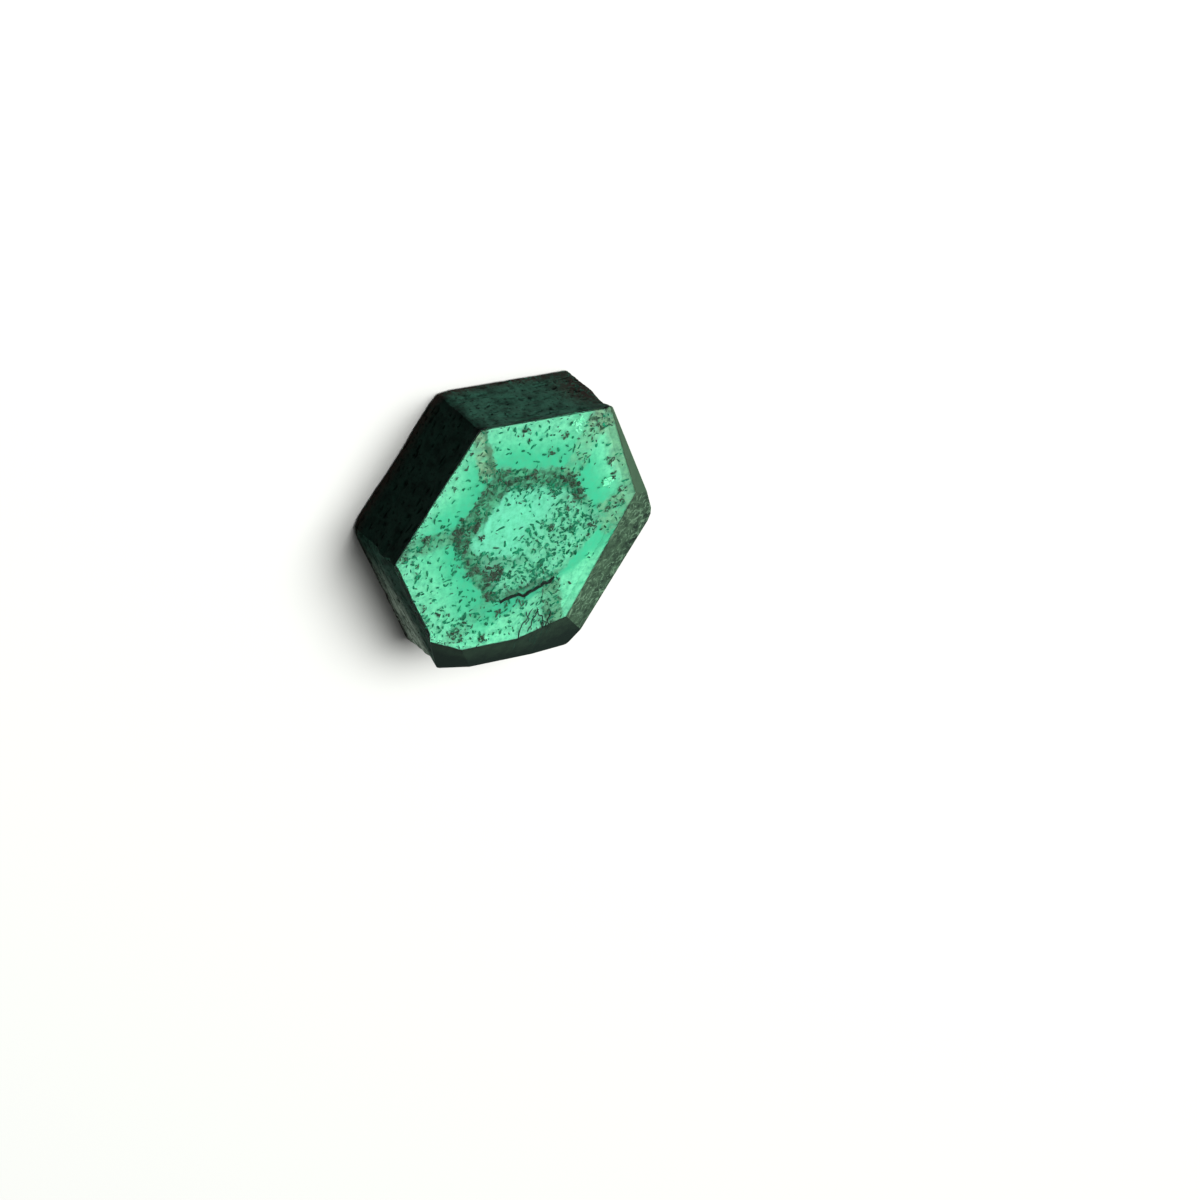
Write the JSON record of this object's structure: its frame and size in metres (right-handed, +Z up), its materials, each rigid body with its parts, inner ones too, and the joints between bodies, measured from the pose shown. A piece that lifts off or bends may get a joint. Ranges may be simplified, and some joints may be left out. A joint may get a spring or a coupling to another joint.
{
  "type": "trapiche emerald crystal slice",
  "caption": "Flat six-sided slice of an emerald crystal, polished on top, with a hexagonal core and spokes of dark matrix grown into it.",
  "frame": {"origin": "middle of the resting face, under the centre of the crystal's box", "axes": "+Z up, out of the polished table; X through two opposite corners of the hexagon, with the matt ground facets towards +X and -Y; Y across the flats"},
  "size_m": [0.0078, 0.007, 0.0021],
  "materials": {
    "emerald": "polished beryl table over milky green crystal with dark matrix flecks; matt ground facets; dark pitted prism faces"
  },
  "bodies": {
    "root": {"trapiche_emerald": "emerald"}
  },
  "joints": []
}
